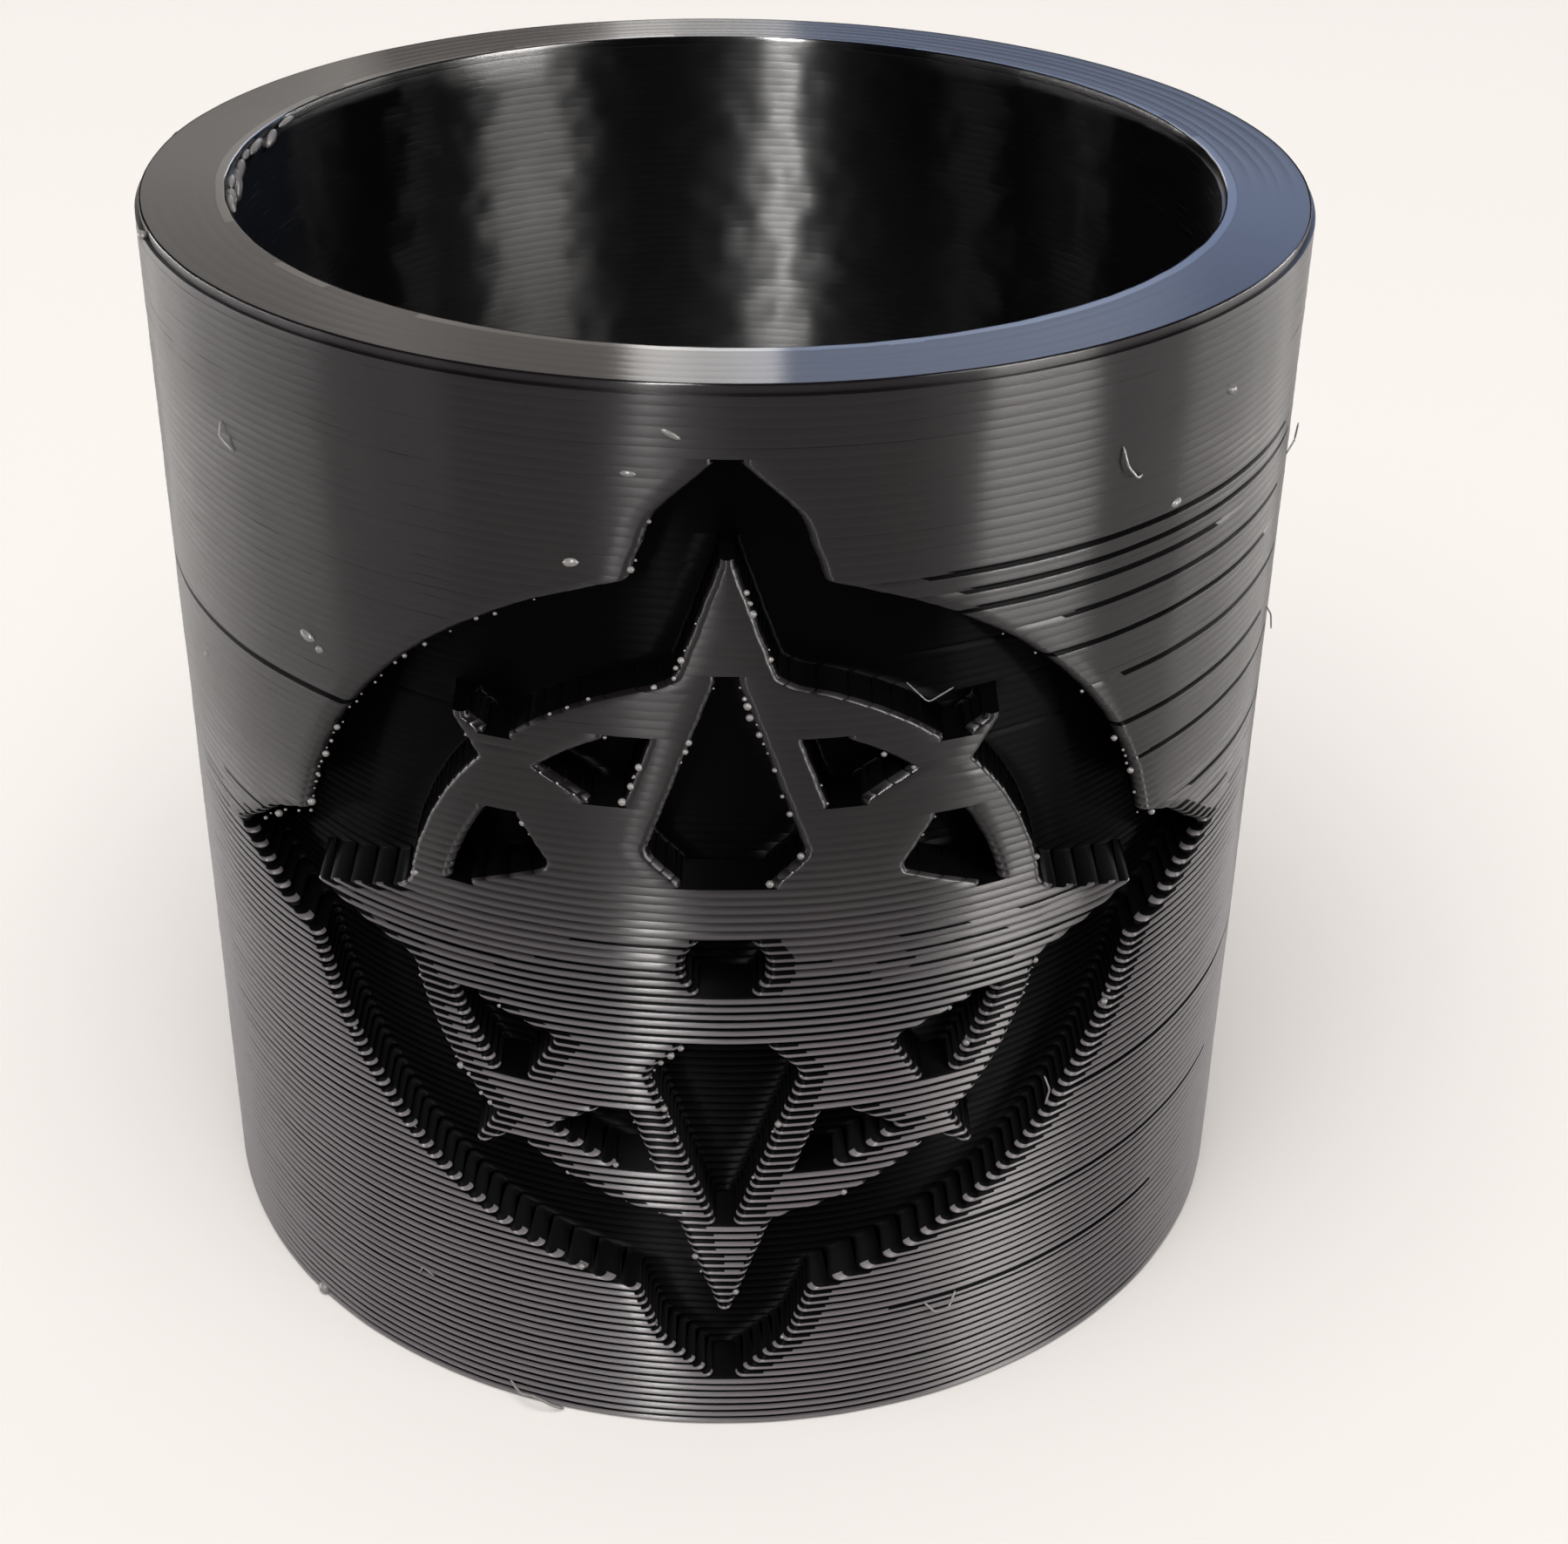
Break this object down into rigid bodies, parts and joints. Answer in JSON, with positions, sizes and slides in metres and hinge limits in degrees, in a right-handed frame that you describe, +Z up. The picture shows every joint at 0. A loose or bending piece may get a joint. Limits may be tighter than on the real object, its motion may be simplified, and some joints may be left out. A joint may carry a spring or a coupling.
{
  "type": "neckerchief slide",
  "caption": "Short round tube that a rolled scarf passes through, with a sunk pocket in front holding a raised eight-point compass rose.",
  "frame": {"origin": "centre of the tube's flat base", "axes": "+Z up along the bore; -Y towards the front, where the compass rose is"},
  "size_m": [0.038, 0.038, 0.0374],
  "materials": {
    "printed_plastic": "black printed plastic, satin, with fine horizontal layer ridges"
  },
  "bodies": {
    "root": {"slide_ring": "printed_plastic"}
  },
  "joints": []
}
